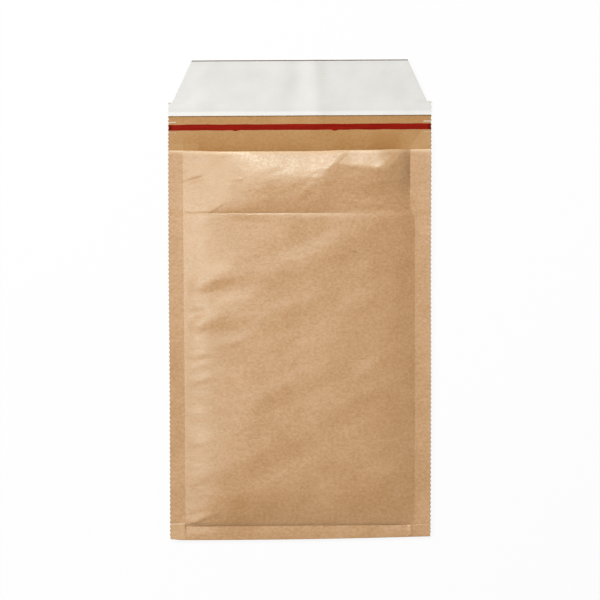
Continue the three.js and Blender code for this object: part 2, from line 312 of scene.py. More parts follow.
class Mailer:
    """Faces, layers and outline of the mailer, in millimetres."""

    def __init__(self, sizes):
        self.half = sizes.width / METRES / 2
        self.body = sizes.body_length / METRES
        self.flap = sizes.flap_length / METRES
        self.paper = sizes.paper / METRES
        self.bubble = sizes.bubble / METRES
        self.length = self.body + self.flap
        self.seal_edge = self.half - sizes.seal_width / METRES
        self.crease = self.body - sizes.hem_length / METRES
        self.layer = self.bubble + 2 * GLUE_GAP
        self.crown = 2 * (self.paper + self.layer) + self.paper + POCKET_GAP
        self.lip_height = (
            self.paper + GLUE_GAP + self.bubble + MOUTH_GAP + LIP_LAYER + 2 * self.paper
        )
        self.shoulder = self.body + SHOULDER
        self.liner_edge = self.extent("release_liner")[0]
        self.tape = self.extent("tear_tape")
        self.slits = [self.tape[0] - SLIT_OFFSET, self.tape[1] + SLIT_OFFSET]
        self.known = {}

    def extent(self, node):
        """Where a CAD node starts and ends, up from the bottom fold."""
        return [corner.y / METRES + self.length / 2 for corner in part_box(node)]

    def pocket_side(self, right, y):
        """How far from the middle the pocket ends and the weld starts."""
        on = 1 - smoothstep(y, self.body, self.body + 6)
        if right:
            beside_hem = smoothstep(y, self.crease - 1, self.crease + 1.5)
            return self.seal_edge - on * (RIGHT_WELD + (HEM_RIGHT_WELD - RIGHT_WELD) * beside_hem)
        low = 1 - clamp(y / self.body)
        return self.seal_edge - on * (LEFT_WELD + (LEFT_LOW_WELD - LEFT_WELD) * low)

    def inside(self, x, y):
        return self.pocket_side(x > 0, y) - abs(x)

    def station(self, x, y):
        """A column of the blank, moved so that the one at the weld follows the pocket's side."""
        if abs(x) >= self.half:
            return x
        side = self.pocket_side(x > 0, y)
        if abs(x) <= self.seal_edge:
            return x * side / self.seal_edge
        out = (abs(x) - self.seal_edge) / (self.half - self.seal_edge)
        return math.copysign(side + out * (self.half - side), x)

    def across(self, x, y, height):
        """How far the panel has risen at x. The stiff hem leaves the left weld at one angle."""
        inside = self.inside(x, y)
        hem = smoothstep(y, self.crease - 6, self.crease + 4)
        if x > 0:
            plain = rise(inside, RIGHT_RISE)
            return plain + (rise(inside, HEM_RIGHT_PILLOW) - plain) * hem
        share, run, turn = LEFT_BEVEL
        plain = rise(inside, LEFT_RISE) + share * facet(max(0, inside), run, turn)
        return plain + (crowned(inside, 2 * height / HEM_LEFT_SLOPE) - plain) * hem

    def upwards(self, y):
        return rise(y - BOTTOM_STRIP, BOTTOM_RISE)

    def weld(self, y):
        return WELD + HEM_WELD * smoothstep(y, self.crease - 3, self.crease + 3)

    def edge_height(self, y):
        return SEAL_LIFT + (FLAP_REST - SEAL_LIFT) * smoothstep(y, self.body, self.liner_edge)

    def back_face(self, x, y):
        """Height of the underside, which is the kraft's outer face there."""
        fade = 1 - smoothstep(y, self.body - ROOT_RISE, self.liner_edge)
        inside = crowned(self.seal_edge - abs(x), BACK_RUN)
        puff = inside * crowned(y - BOTTOM_STRIP, BACK_RUN) * fade
        curl = max(0, y - self.liner_edge) / (self.length - self.liner_edge)
        flat = self.edge_height(y) * (1 - puff) + FLAP_CURL * curl**2
        slack = 0.16 * (1 + wobble(x, y, 60, 26, 0.5, 8.2)) * inside
        return flat + slack + self.flap_relief(x, y) + self.seal_curl(x, y) + self.tab_lift(x, y)

    def seal_curl(self, x, y):
        """The welded sides turn up a little towards their cut edges."""
        out = clamp((abs(x) - self.seal_edge) / (self.half - self.seal_edge))
        wave = 0.12 * noise.noise(Vector((y / 34, 6.2 if x > 0 else 1.4, 0)))
        curl = RIGHT_CURL if x > 0 else SEAL_CURL
        return (curl + wave) * out**1.5 * (1 - smoothstep(y, self.body, self.liner_edge))

    def tab_lift(self, x, y):
        """The tear tabs between the slits are bent up a little."""
        if abs(x) < self.half - SLIT_LENGTH:
            return 0
        low, high = self.slits
        inside = smoothstep(y, low - 0.3, low + 0.3) * smoothstep(y, high + 0.3, high - 0.3)
        return 0.3 * inside * smoothstep(abs(x), self.half - SLIT_LENGTH, self.half)

    def flap_relief(self, x, y):
        """The soft ridge down the flap, and the waves beside it."""
        on = smoothstep(y, self.body + 4, self.liner_edge + 6)
        if on == 0:
            return 0
        ridge = bell(x, 12.5, 7)
        valley = -0.75 * bell(x, -1.5, 8) * smoothstep(y, 292, 314)
        soft = 0.3 * wobble(x, y, 46, 22, 1.35, 4.7) + 0.12 * wobble(x, y, 18, 14, 0.3, 6.1)
        return on * (ridge + valley + soft)

    def front_face(self, x, y):
        """Height of the front sheet's outer face."""
        key = (round(x, 3), round(y, 3))
        if key not in self.known:
            self.known[key] = self._front_face(x, y)
        return self.known[key]

    def _front_face(self, x, y):
        lowest = SEAL_LIFT + self.weld(y)
        right = smoothstep(x, 14, 34)
        hem_rise = HEM_RISE + (HEM_RIGHT_RISE - HEM_RISE) * right
        crown = self.crown + hem_rise * crowned(y - self.crease, HEM_RUN) - lowest
        lip = (self.lip_height - lowest) / (self.crown + hem_rise - lowest)
        down = self.body - y
        stray = 1.6 * noise.noise(Vector((x / 17, 4.4, 0)))
        turn = crowned(down, ROLL_RUN + stray)
        turn += (facet(down, FACET_RUN + stray, FACET_ROUND) - turn) * right
        across = self.across(x, y, crown * (lip + (1 - lip) * turn))
        lower = upper = across
        if x > 0:
            near = 1 - smoothstep(down, FACET_RUN, FACET_RUN + 24)
            lower += (crowned(self.inside(x, y), MOUTH_SIDE) - across) * near
            upper += (crowned(self.inside(x, y), FACET_SIDE) - across) * near
        up = self.upwards(y)
        puff = mitred(lower, up) * lip + mitred(upper, up) * (1 - lip) * turn
        plain = lowest + crown * puff
        return plain - self.hem_crease(x, y) * across + self.relief(x, y) + self.seal_curl(x, y)

    def hem_crease(self, x, y):
        above = clamp(1 - (y - self.crease) / CREASE_ABOVE)
        below = clamp(1 - (self.crease - y) / CREASE_BELOW)
        depth = CREASE_DEPTH * (1 - 0.3 * bell(x, -12, 22))
        return depth * (above if y > self.crease else below) ** 1.5

    def relief(self, x, y):
        """Waves, pleats and creases of the front panel. The welds hold it flat at the sides."""
        inside = self.inside(x, y)
        held = smoothstep(inside, 0, 7) * smoothstep(y, BOTTOM_STRIP - 1, BOTTOM_STRIP + 8)
        soft = 0.5 * wobble(x, y, 80, 24, 0.56, 2.3) + 0.06 * wobble(x, y, 30, 13, 0.45, 5.9)
        fine = 0.03 * wobble(x, y, 10, 6, 0.4, 1.2)
        height = soft + fine
        if y < self.crease:
            height += 1.1 * sum(fold(x, y, *wave) for wave in WAVES)
            height += sum(fold(x, y, *pleat) for pleat in PLEATS)
        height += sum(fold(x, y, *crease, sharp=True) for crease in CREASES)
        height += self.side_streaks(x, y)
        height += self.hem_crumple(x, y)
        return height * held

    def side_streaks(self, x, y):
        """Fine pleats that run in from the side welds."""
        right = smoothstep(x, 54, 68)
        left = smoothstep(-x, 52, 68)
        fine = 0.16 * wobble(x, y, 16, 2.6, 0.08, 3.3)
        coarse = 0.26 * wobble(x, y, 15, 5.5, 0.12, 7.4)
        return right * (0.8 * fine + 0.3 * coarse) + left * (0.45 * coarse + 0.25 * fine)

    def hem_crumple(self, x, y):
        """The doubled sheet of the hem is stiffer, and creases in small facets."""
        on = smoothstep(y, self.crease + 2, self.crease + 9) * smoothstep(y, self.body, self.body - 12)
        if on <= 0:
            return 0
        facets = abs(wobble(x, y, 16, 8, 0.45, 9.1)) + 0.6 * abs(wobble(x, y, 9, 6, -0.6, 2.7))
        return on * 0.28 * facets

    def pad_space(self, x, y):
        """Depth that the padding has behind each sheet, squeezed at the welds."""
        depth = self.front_face(x, y) - self.back_face(x, y) - self.weld(y)
        return min(self.layer, WELD_FILM + PADDING_SHARE * max(0, depth))

    def front_pad_space(self, x, y):
        lip_thickness = LIP_LAYER + 2 * self.paper
        opened = crowned(self.body - lip_thickness / 2 - y, MOUTH_RUN)
        at_lip = LIP_LAYER + (self.layer - LIP_LAYER) * opened
        at_crease = self.layer - CREASE_PINCH * clamp(1 - abs(y - self.crease) / 6) ** 1.6
        return min(self.pad_space(x, y), at_lip, at_crease)

    def side(self, y):
        """Half the width of the cut sheet at y, without the teeth."""
        if y < CORNER_CUT:
            return self.half - 0.35 * (CORNER_CUT - y)
        if y <= self.shoulder:
            return self.half
        t = (y - self.shoulder) / (self.length - self.shoulder)
        return self.half - SHOULDER_INSET - (TIP_INSET - SHOULDER_INSET) * t

    def tooth(self, y):
        """How far the serrated edge stands back at y."""
        if not CORNER_CUT <= y <= self.shoulder:
            return 0
        phase = (y - CORNER_CUT) / TOOTH_PITCH % 1
        return TOOTH_DEPTH * abs(2 * phase - 1)

    def cut(self, x, y):
        """Place of a station of the blank, drawn in to the outline."""
        side = self.side(y)
        edge = abs(x) > self.half - 1e-6
        inset = self.tooth(y) if edge else 0
        return x * (side - inset) / self.half

    def set_down(self, x, y, z):
        """From the square drawing to the place in the frame."""
        up = clamp(y / self.body)
        narrow = 1 - NARROWED * (1 - up)
        aside = SHIFTED * smoothstep(up, 0.75, 0.35)
        return Vector((x * narrow + aside, y + self.askew(x, y) - self.length / 2, z)) * METRES

    def askew(self, x, y):
        """How far each level lies off the straight: the sheets are cut and folded a little askew."""
        out = x / self.half
        hem = smoothstep(y, self.crease, self.body)
        low = 1 - clamp(y / self.crease)
        slant = CREASE_SLANT + (MOUTH_SLANT - CREASE_SLANT) * hem
        upper = slant * out - CREASE_DROP * (1 - hem)
        lower = BOTTOM_SLANT * out + BOTTOM_LIFT
        fold_line = FOLD_SLANT * out + FOLD_BOW * out**2 - 0.06
        fold_line += FOLD_LEFT_END * smoothstep(-out, 0.9, 1)
        bottom = 1 - smoothstep(y, 0, BOTTOM_STRIP)
        sag = MOUTH_SAG * math.cos(out * math.pi / 2) - 0.8 * smoothstep(-x, 56, 76)
        sag -= 0.45 * smoothstep(x, 12, 26) + 0.4 * smoothstep(x, 52, 68)
        at_mouth = smoothstep(y, self.body - 26, self.body) * smoothstep(y, self.body + 12, self.body)
        return upper * (1 - low) + lower * low + fold_line * bottom - sag * at_mouth


def deselect():
    if bpy.context.object and bpy.context.object.mode != "OBJECT":
        bpy.ops.object.mode_set(mode="OBJECT")
    bpy.ops.object.select_all(action="DESELECT")


def select(*pieces):
    """Selects the pieces, and makes the first one active."""
    deselect()
    for piece in pieces:
        piece.select_set(True)
    bpy.context.view_layer.objects.active = pieces[0]


def grid(name, columns, rows, place):
    """A sheet that starts as a grid, with place(column, row) for each crossing."""
    deselect()
    across, along = len(columns) - 1, len(rows) - 1
    bpy.ops.mesh.primitive_grid_add(x_subdivisions=across, y_subdivisions=along, size=1)
    sheet = bpy.context.object
    sheet.name = name
    sheet.data.name = name
    if len(sheet.data.vertices) != len(columns) * len(rows):
        raise RuntimeError(f"{name}: the grid doesn't have the crossings that were asked for")
    for vertex in sheet.data.vertices:
        column = columns[round((vertex.co.x + 0.5) * across)]
        row = rows[round((vertex.co.y + 0.5) * along)]
        vertex.co = place(column, row)
    return sheet


def apply_modifier(piece, kind, **settings):
    bpy.context.view_layer.objects.active = piece
    modifier = piece.modifiers.new(kind.title(), kind)
    for setting, value in settings.items():
        setattr(modifier, setting, value)
    bpy.ops.object.modifier_apply(modifier=modifier.name)


def thicken(sheet, thickness, offset=-1.0, inner=0, rim=0, even=True):
    apply_modifier(
        sheet,
        "SOLIDIFY",
        thickness=thickness * METRES,
        offset=offset,
        use_even_offset=even,
        material_offset=inner,
        material_offset_rim=rim,
    )


def smooth(piece, degrees):
    select(piece)
    bpy.ops.object.shade_smooth_by_angle(angle=math.radians(degrees))


def solid_sheet(sheet, material, thickness, degrees):
    """Gives a sheet its material and thickness, and smooths it up to that angle."""
    sheet.data.materials.append(material)
    thicken(sheet, thickness)
    smooth(sheet, degrees)


def hand_in(piece, node):
    """The finished piece stands for its CAD node."""
    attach(piece, "root")
    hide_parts(node)


class Value:
    """A number in a node tree. Arithmetic on it adds Math nodes."""

    def __init__(self, nodes, socket):
        self.nodes = nodes
        self.socket = socket

    def math(self, operation, *operands):
        values = dict(enumerate([self, *operands]))
        node = self.nodes.add("ShaderNodeMath", {"operation": operation}, values)
        return Value(self.nodes, node.outputs[0])

    def __add__(self, other):
        return self.math("ADD", other)

    def __sub__(self, other):
        return self.math("SUBTRACT", other)

    def __mul__(self, other):
        return self.math("MULTIPLY", other)

    def __abs__(self):
        return self.math("ABSOLUTE")

    def least(self, other):
        return self.math("MINIMUM", other)

    def most(self, other):
        return self.math("MAXIMUM", other)

    def band(self, start, end):
        """0 below start, 1 above end, and smooth between them. Start may be the higher one."""
        node = self.nodes.add(
            "ShaderNodeMapRange",
            {"interpolation_type": "SMOOTHSTEP"},
            {"Value": self, "From Min": start, "From Max": end},
        )
        return Value(self.nodes, node.outputs["Result"])


class Nodes:
    """The node tree of a material or of the world."""

    def __init__(self, owner):
        owner.use_nodes = True
        self.owner = owner
        self.tree = owner.node_tree
        self.tree.nodes.clear()

    def add(self, kind, settings=None, inputs=None):
        node = self.tree.nodes.new(kind)
        for setting, value in (settings or {}).items():
            setattr(node, setting, value)
        for socket, value in (inputs or {}).items():
            self.feed(node.inputs[socket], value)
        return node

    def feed(self, socket, value):
        if isinstance(value, Value):
            value = value.socket
        if isinstance(value, bpy.types.NodeSocket):
            self.tree.links.new(value, socket)
        else:
            socket.default_value = value

    def seen(self):
        """1 for what the camera sees, also by reflection or through film, and 0 for other light."""
        rays = self.add("ShaderNodeLightPath").outputs
        kinds = [Value(self, rays[f"Is {kind} Ray"]) for kind in ("Camera", "Glossy", "Transmission")]
        return kinds[0].most(kinds[1]).most(kinds[2])

    def show(self, shader, kind="ShaderNodeOutputMaterial"):
        self.add(kind, inputs={"Surface": shader})


class Finish(Nodes):
    """One material, whose textures lie on Object coordinates."""

    def __init__(self, name):
        super().__init__(bpy.data.materials.new(name))
        self.place = self.add("ShaderNodeTexCoord").outputs["Object"]

    def attribute(self, name, output):
        return self.add("ShaderNodeAttribute", {"attribute_name": name}).outputs[output]

    def turned(self, scale=(1, 1, 1), degrees=0, shift=(0, 0, 0)):
        node = self.add(
            "ShaderNodeMapping",
            inputs={
                "Vector": self.place,
                "Location": shift,
                "Rotation": (0, 0, math.radians(degrees)),
                "Scale": scale,
            },
        )
        return node.outputs[0]

    def dot(self, vector, direction):
        """Distance of a point along a direction in the drawing."""
        node = self.add(
            "ShaderNodeVectorMath", {"operation": "DOT_PRODUCT"}, {0: vector, 1: (*direction, 0)}
        )
        return Value(self, node.outputs["Value"])

    def noise(self, scale, detail=2.0, roughness=0.5, vector=None, distortion=0.0):
        """Noise with `scale` features to the metre."""
        node = self.add(
            "ShaderNodeTexNoise",
            inputs={
                "Vector": vector or self.place,
                "Scale": scale,
                "Detail": detail,
                "Roughness": roughness,
                "Distortion": distortion,
            },
        )
        return Value(self, node.outputs["Fac"])

    def axes(self):
        node = self.add("ShaderNodeSeparateXYZ", inputs={0: self.place})
        return [Value(self, output) for output in node.outputs]

    def mix(self, factor, first, second, blend="MIX"):
        node = self.add("ShaderNodeMix", {"data_type": "RGBA", "blend_type": blend})
        for socket, value in zip((0, 6, 7), (factor, first, second)):
            self.feed(node.inputs[socket], value)
        return node.outputs[2]

    def mottled(self, field, low, high, colour, dark, light):
        """A colour that is darker where the field is low and lighter where it is high."""
        return self.mix(field.band(low, high), shade(colour, dark), shade(colour, light))

    def bump(self, height, distance, strength=1.0):
        node = self.add(
            "ShaderNodeBump",
            inputs={"Height": height, "Distance": distance, "Strength": strength},
        )
        return node.outputs[0]

    def surface(self, **inputs):
        named = {name.replace("_", " ").title(): value for name, value in inputs.items()}
        named = {name.replace("Ior", "IOR"): value for name, value in named.items()}
        shader = self.add("ShaderNodeBsdfPrincipled", inputs=named)
        self.show(shader.outputs[0])
        return self.owner


def shade(colour, factor):
    """A colour made lighter or darker, as the four numbers of a socket."""
    return (*[clamp(part * factor) for part in colour[:3]], 1)


def fibres(finish):
    """Long fibres of the pulp, most of them lying across the mailer."""
    first = finish.noise(1, 3, 0.55, finish.turned((420, 1500, 400), 10))
    second = finish.noise(1, 3, 0.55, finish.turned((520, 1300, 400), -16, (3, 1, 0)))
    return (first + second) * 0.5


def crisp_folds(finish):
    """Height of the narrow straight folds, in metres."""
    drawn = finish.attribute("drawn", "Vector")
    stray = (finish.noise(160, 2, 0.5) - 0.5) * 1.2
    heights = []
    for start, end, left, right, height, fade_in, fade_out in CRISP_FOLDS:
        along = Vector(end) - Vector(start)
        reach = along.length
        along.normalize()
        aside = Vector((-along.y, along.x))
        t = finish.dot(drawn, along) - along.dot(start)
        offset = finish.dot(drawn, aside) - aside.dot(start) + stray
        tent = (offset * (-1 / left) + 1).least(offset * (1 / right) + 1).most(0)
        ends = t.band(0, reach * fade_in) * t.band(reach, reach * (1 - fade_out))
        heights.append(tent * ends * (height * METRES))
    total = heights[0]
    for height in heights[1:]:
        total = total + height
    return total


def hem_facets(finish):
    """Height of the small facets that the stiff hem is crumpled into, in metres."""
    x, y, _ = finish.axes()
    wide = abs(finish.noise(1, 0, 0.5, finish.turned((60, 130, 60), -22), 0.4) - 0.5)
    small = abs(finish.noise(1, 0, 0.5, finish.turned((130, 240, 60), -14, (4, 2, 0)), 0.5) - 0.5)
    inside = y.band(0.0605, 0.066) * y.band(0.092, 0.077) * abs(x).band(0.079, 0.073)
    right = x.band(-0.01, 0.025) * 0.7 + 0.3
    return (wide * 0.0004 + small * 0.00025) * inside * right


def warmed(colour, factor):
    """A tone of kraft: where the pulp is darker it is also warmer, and paler where it is light."""
    return (*[clamp(part * factor**power) for part, power in zip(colour, (0.7, 1.08, 2.2))], 1)


def lightened_for_scuff_and_highlight(colour):
    """Kraft made paler: partly scuffed fibres that stand up, partly painted highlight."""
    return (*[part + paler for part, paler in zip(colour, (0.22, 0.2, 0.14))], 1)


def mouth_tones(finish, base, colour):
    """A darker patch of the bare strip at the mouth, painted highlight at the strip's two ends, and
    painted shade in dark brown along the flap's cut tip.
    """
    x, y, _ = finish.axes()
    stray = (finish.noise(90, 2, 0.5) - 0.5) * 0.008
    strip = y.band(0.1, 0.103) * y.band(0.117, 0.112)
    # a darker patch of the strip, from 46 to 74 mm right of the middle
    dark_patch = (x + stray).band(0.046, 0.054) * (x + stray).band(0.074, 0.064) * strip
    base = finish.mix(dark_patch * 0.6, base, warmed(colour, 0.82))
    # painted highlight at the strip's right and left ends
    right = (x - (y - 0.108) * 0.7 + stray * 0.3).band(0.0775, 0.0785) * y.band(0.116, 0.1145)
    left = (x + stray * 0.3).band(-0.0675, -0.0695) * y.band(0.107, 0.1055)
    base = finish.mix(right.most(left) * 0.16, base, lightened_for_scuff_and_highlight(colour))
    # painted shade: the flap's cut tip in dark brown
    return finish.mix(y.band(*TIP_SHADE_BAND), base, TIP_SHADE_COLOUR)


def shade_notches(finish, base):
    """Painted shade: dark brown in the bottoms of the notches of the serrated edge."""
    parts = finish.add("ShaderNodeSeparateXYZ", inputs={0: finish.attribute("drawn", "Vector")})
    notch = Value(finish, parts.outputs[2])
    return finish.mix(notch.band(0.1, 0.85) * 0.85, base, NOTCH_SHADE_COLOUR)


def flecked(finish, base):
    """One dark splinter of wood in the pulp."""
    x, y, _ = finish.axes()
    away = abs((x - 0.037) * 500).most(abs((y - 0.0327) * 1300 + (x - 0.037) * 350))
    return finish.mix(away.band(1, 0.3) * 0.55, base, SPLINTER_BROWN)


def kraft_finish(name, colour, contrast, roughness, specular, folded=False):
    """Kraft paper: mottled pulp, long fibres, and a few dark and pale specks."""
    finish = Finish(name)
    fibre = fibres(finish)
    pulp = finish.noise(520, 4, 0.5)
    cloud = finish.noise(55, 3, 0.55)
    patch = finish.noise(14, 2, 0.5)
    tone = fibre * 0.4 + pulp * 0.28 + cloud * 0.2 + patch * 0.12
    base = finish.mix(
        tone.band(0.34, 0.66),
        warmed(colour, 1 - contrast),
        warmed(colour, 1 + contrast),
    )
    specks = finish.noise(1300, 2, 0.5, finish.turned((0.6, 1, 1), 10))
    base = finish.mix(specks.band(0.72, 0.8) * 0.3, base, warmed(colour, 0.66))
    base = finish.mix(specks.band(0.28, 0.2) * 0.25, base, warmed(colour, 1.2))
    # paler where the paper is scuffed, and painted highlight on the lip, the bottom fold and the
    # crests of the folds
    scuff_and_highlight_mask = Value(finish, finish.attribute("scuff_and_highlight", "Fac"))
    base = finish.mix(scuff_and_highlight_mask * 0.6, base, lightened_for_scuff_and_highlight(colour))
    # the outside gets a splinter; the inside gets the strip's darker patch, painted highlight at its
    # ends and painted shade at the tip
    base = flecked(finish, base) if folded else mouth_tones(finish, base, colour)
    # painted shade in the bottoms of the notches
    base = shade_notches(finish, base)
    crumple = finish.noise(140, 4, 0.5, finish.turned((0.7, 1.25, 1), 28))
    relief = (fibre * 0.14 + pulp * 0.08 + crumple * 0.5) * 0.0004
    if folded:
        front = finish.axes()[2].band(0.0031, 0.0036)
        relief = relief + (crisp_folds(finish) + hem_facets(finish)) * front
    return finish.surface(
        base_color=base,
        roughness=pulp.band(0.3, 0.7) * 0.1 + (roughness - 0.05),
        specular_ior_level=specular,
        specular_tint=(0.86, 1, 0.93, 1),
        normal=finish.bump(relief, 1.0),
    )


def edge_finish(colour):
    """The paper's cut edge: pale torn fibres."""
    finish = Finish("kraft_cut_edge")
    fibre = finish.noise(2400, 4, 0.7)
    base = finish.mottled(fibre, 0.35, 0.65, colour, 0.8, 1.25)
    # painted shade: the flap's cut tip in dark brown
    base = finish.mix(finish.axes()[1].band(*TIP_SHADE_BAND), base, TIP_SHADE_COLOUR)
    return finish.surface(base_color=base, roughness=0.9, normal=finish.bump(fibre, 0.0001))


def liner_finish(colour):
    """Silicone paper: smooth, faintly clouded, with a satin shine."""
    finish = Finish("release_paper")
    cloud = finish.noise(60, 3, 0.55)
    grain = finish.noise(1400, 3, 0.6)
    base = finish.mottled(cloud * 0.7 + grain * 0.3, 0.32, 0.68, colour, 0.96, 1.03)
    return finish.surface(
        base_color=base,
        roughness=cloud * 0.16 + 0.38,
        specular_ior_level=0.4,
        normal=finish.bump(cloud + grain * 0.06, 0.0003, 0.6),
    )


def tape_finish(colour):
    """Red polymer tape, drawn along its length."""
    finish = Finish("red_tape")
    drawn = finish.noise(1, 3, 0.6, finish.turned((60, 1800, 300)))
    dull = finish.noise(220, 3, 0.6)
    base = finish.mottled(drawn, 0.3, 0.7, colour, 0.82, 1.15)
    ends = abs(finish.axes()[0]).band(0.0862, 0.0892)
    base = finish.mix(ends * 0.7, base, shade(colour, 0.3))
    return finish.surface(
        base_color=base,
        roughness=dull.band(0.3, 0.7) * 0.2 + 0.3,
        specular_ior_level=0.06,
        specular_tint=(1, 0.2, 0.1, 1),
        normal=finish.bump(drawn, 0.00012, 0.6),
    )


def film_finish(colour, opacity):
    """Clear polythene film, a little milky."""
    finish = Finish("bubble_film")
    haze = finish.noise(90, 3, 0.5)
    stretch = finish.noise(420, 2, 0.5)
    base = finish.mottled(haze, 0.3, 0.7, colour, 0.92, 1.05)
    return finish.surface(
        base_color=base,
        roughness=haze * 0.15 + 0.14,
        alpha=haze.band(0.2, 0.8) * 0.14 + (opacity - 0.07),
        normal=finish.bump(stretch, 0.0002, 0.5),
    )


def glue_finish(colour):
    """Hot-melt glue laid down in close beads along the flap."""
    finish = Finish("flap_glue")
    beads = finish.noise(1, 2, 0.5, finish.turned((25, 900, 300)))
    blot = finish.noise(180, 3, 0.6)
    base = finish.mottled(beads, 0.3, 0.7, colour, 0.88, 1.08)
    return finish.surface(
        base_color=base,
        roughness=blot * 0.2 + 0.12,
        normal=finish.bump(beads + blot * 0.4, 0.0003, 0.8),
    )


def length_property(name, description, metres):
    return bpy.props.FloatProperty(
        name=name, description=description, default=metres, min=0, unit="LENGTH", precision=4
    )


def colour_property(name, description, linear):
    return bpy.props.FloatVectorProperty(
        name=name, description=description, default=linear, min=0, max=1, subtype="COLOR"
    )


class MailerSizes(bpy.types.PropertyGroup):
    width: length_property("Width", "Over the tips of the cut teeth", cad_high.x - cad_low.x)
    body_length: length_property("Body length", "Bottom fold to mouth", BODY_LENGTH)
    flap_length: length_property(
        "Flap length", "Mouth to the flap's tip", cad_high.y - cad_low.y - BODY_LENGTH
    )
    seal_width: length_property("Seal width", "Width of the welded sides", 0.0102)
    hem_length: length_property("Hem", "Depth of the sheet turned in at the mouth", 0.0424)
    paper: length_property("Paper", "Thickness of the kraft sheet", 0.0002)
    bubble: length_property("Bubbles", "Height of the bubble film", 0.0032)


class MailerColours(bpy.types.PropertyGroup):
    kraft: colour_property("Kraft", "Outer face of the kraft paper", (0.505, 0.264, 0.1))
    kraft_inside: colour_property("Kraft inside", "Coated inner face", (0.455, 0.232, 0.074))
    liner: colour_property("Liner", "Peel-off strip", (0.747, 0.739, 0.702))
    tape: colour_property("Tape", "Tear tape", (0.265, 0.01, 0.005))
    film: colour_property("Film", "Bubble film", (0.82, 0.85, 0.87))
    glue: colour_property("Glue", "Adhesive under the liner", (0.8, 0.76, 0.62))


class MakeStage(bpy.types.Operator):
    """Lay the pale floor, set the lamps and place the camera straight above"""

    bl_idname = "mailer.make_stage"
    bl_label = "Stage"

    def execute(self, context):
        self.add_floor()
        self.light_world(context)
        self.add_lamps()
        self.add_camera(context)
        return {"FINISHED"}

    def add_floor(self):
        deselect()
        bpy.ops.mesh.primitive_plane_add(size=FLOOR_SIZE, location=(0, 0, FLOOR_LEVEL))
        floor = bpy.context.object
        floor.name = "floor"
        finish = Finish("floor_paper")
        lit = finish.add("ShaderNodeBsdfDiffuse", inputs={"Color": (*[FLOOR_TONE] * 3, 1)})
        plain = finish.add("ShaderNodeEmission", inputs={"Color": (1, 1, 1, 1), "Strength": 1.0})
        shares = {0: finish.seen() * FLOOR_GLOW, 1: lit.outputs[0], 2: plain.outputs[0]}
        mixed = finish.add("ShaderNodeMixShader", inputs=shares)
        finish.show(mixed.outputs[0])
        floor.data.materials.append(finish.owner)

    def light_world(self, context):
        world = Nodes(bpy.data.worlds.new("studio"))
        levels = {"Value": world.seen(), "To Min": SKY_LEVEL, "To Max": 1.0}
        strength = world.add("ShaderNodeMapRange", inputs=levels)
        colour = {"Color": (1, 1, 1, 1), "Strength": strength.outputs[0]}
        sky = world.add("ShaderNodeBackground", inputs=colour)
        world.show(sky.outputs[0], "ShaderNodeOutputWorld")
        context.scene.world = world.owner
        context.scene.view_settings.view_transform = "Standard"

    def add_lamps(self):
        """Two soft lamps, high over the flap and over the left side."""
        for name, (direction, distance, size, level) in LAMPS.items():
            towards = Vector(direction).normalized()
            deselect()
            bpy.ops.object.light_add(type="AREA", location=towards * distance)
            lamp = bpy.context.object
            lamp.name = name
            lamp.data.shape = "DISK"
            lamp.data.size = size
            lamp.data.energy = level * (math.pi * distance) ** 2 / towards.z
            lamp.rotation_euler = towards.to_track_quat("Z", "Y").to_euler()

    def add_camera(self, context):
        deselect()
        bpy.ops.object.camera_add(location=CAMERA_PLACE)
        camera = bpy.context.object
        camera.data.sensor_width = CAMERA_SENSOR
        camera.data.lens = CAMERA_LENS
        camera.data.dof.use_dof = False
        context.scene.camera = camera


class Maker:
    """A step whose make(mailer, colours) builds a piece from the panel's sizes and colours."""

    def execute(self, context):
        self.make(Mailer(context.scene.mailer_sizes), context.scene.mailer_colours)
        return {"FINISHED"}


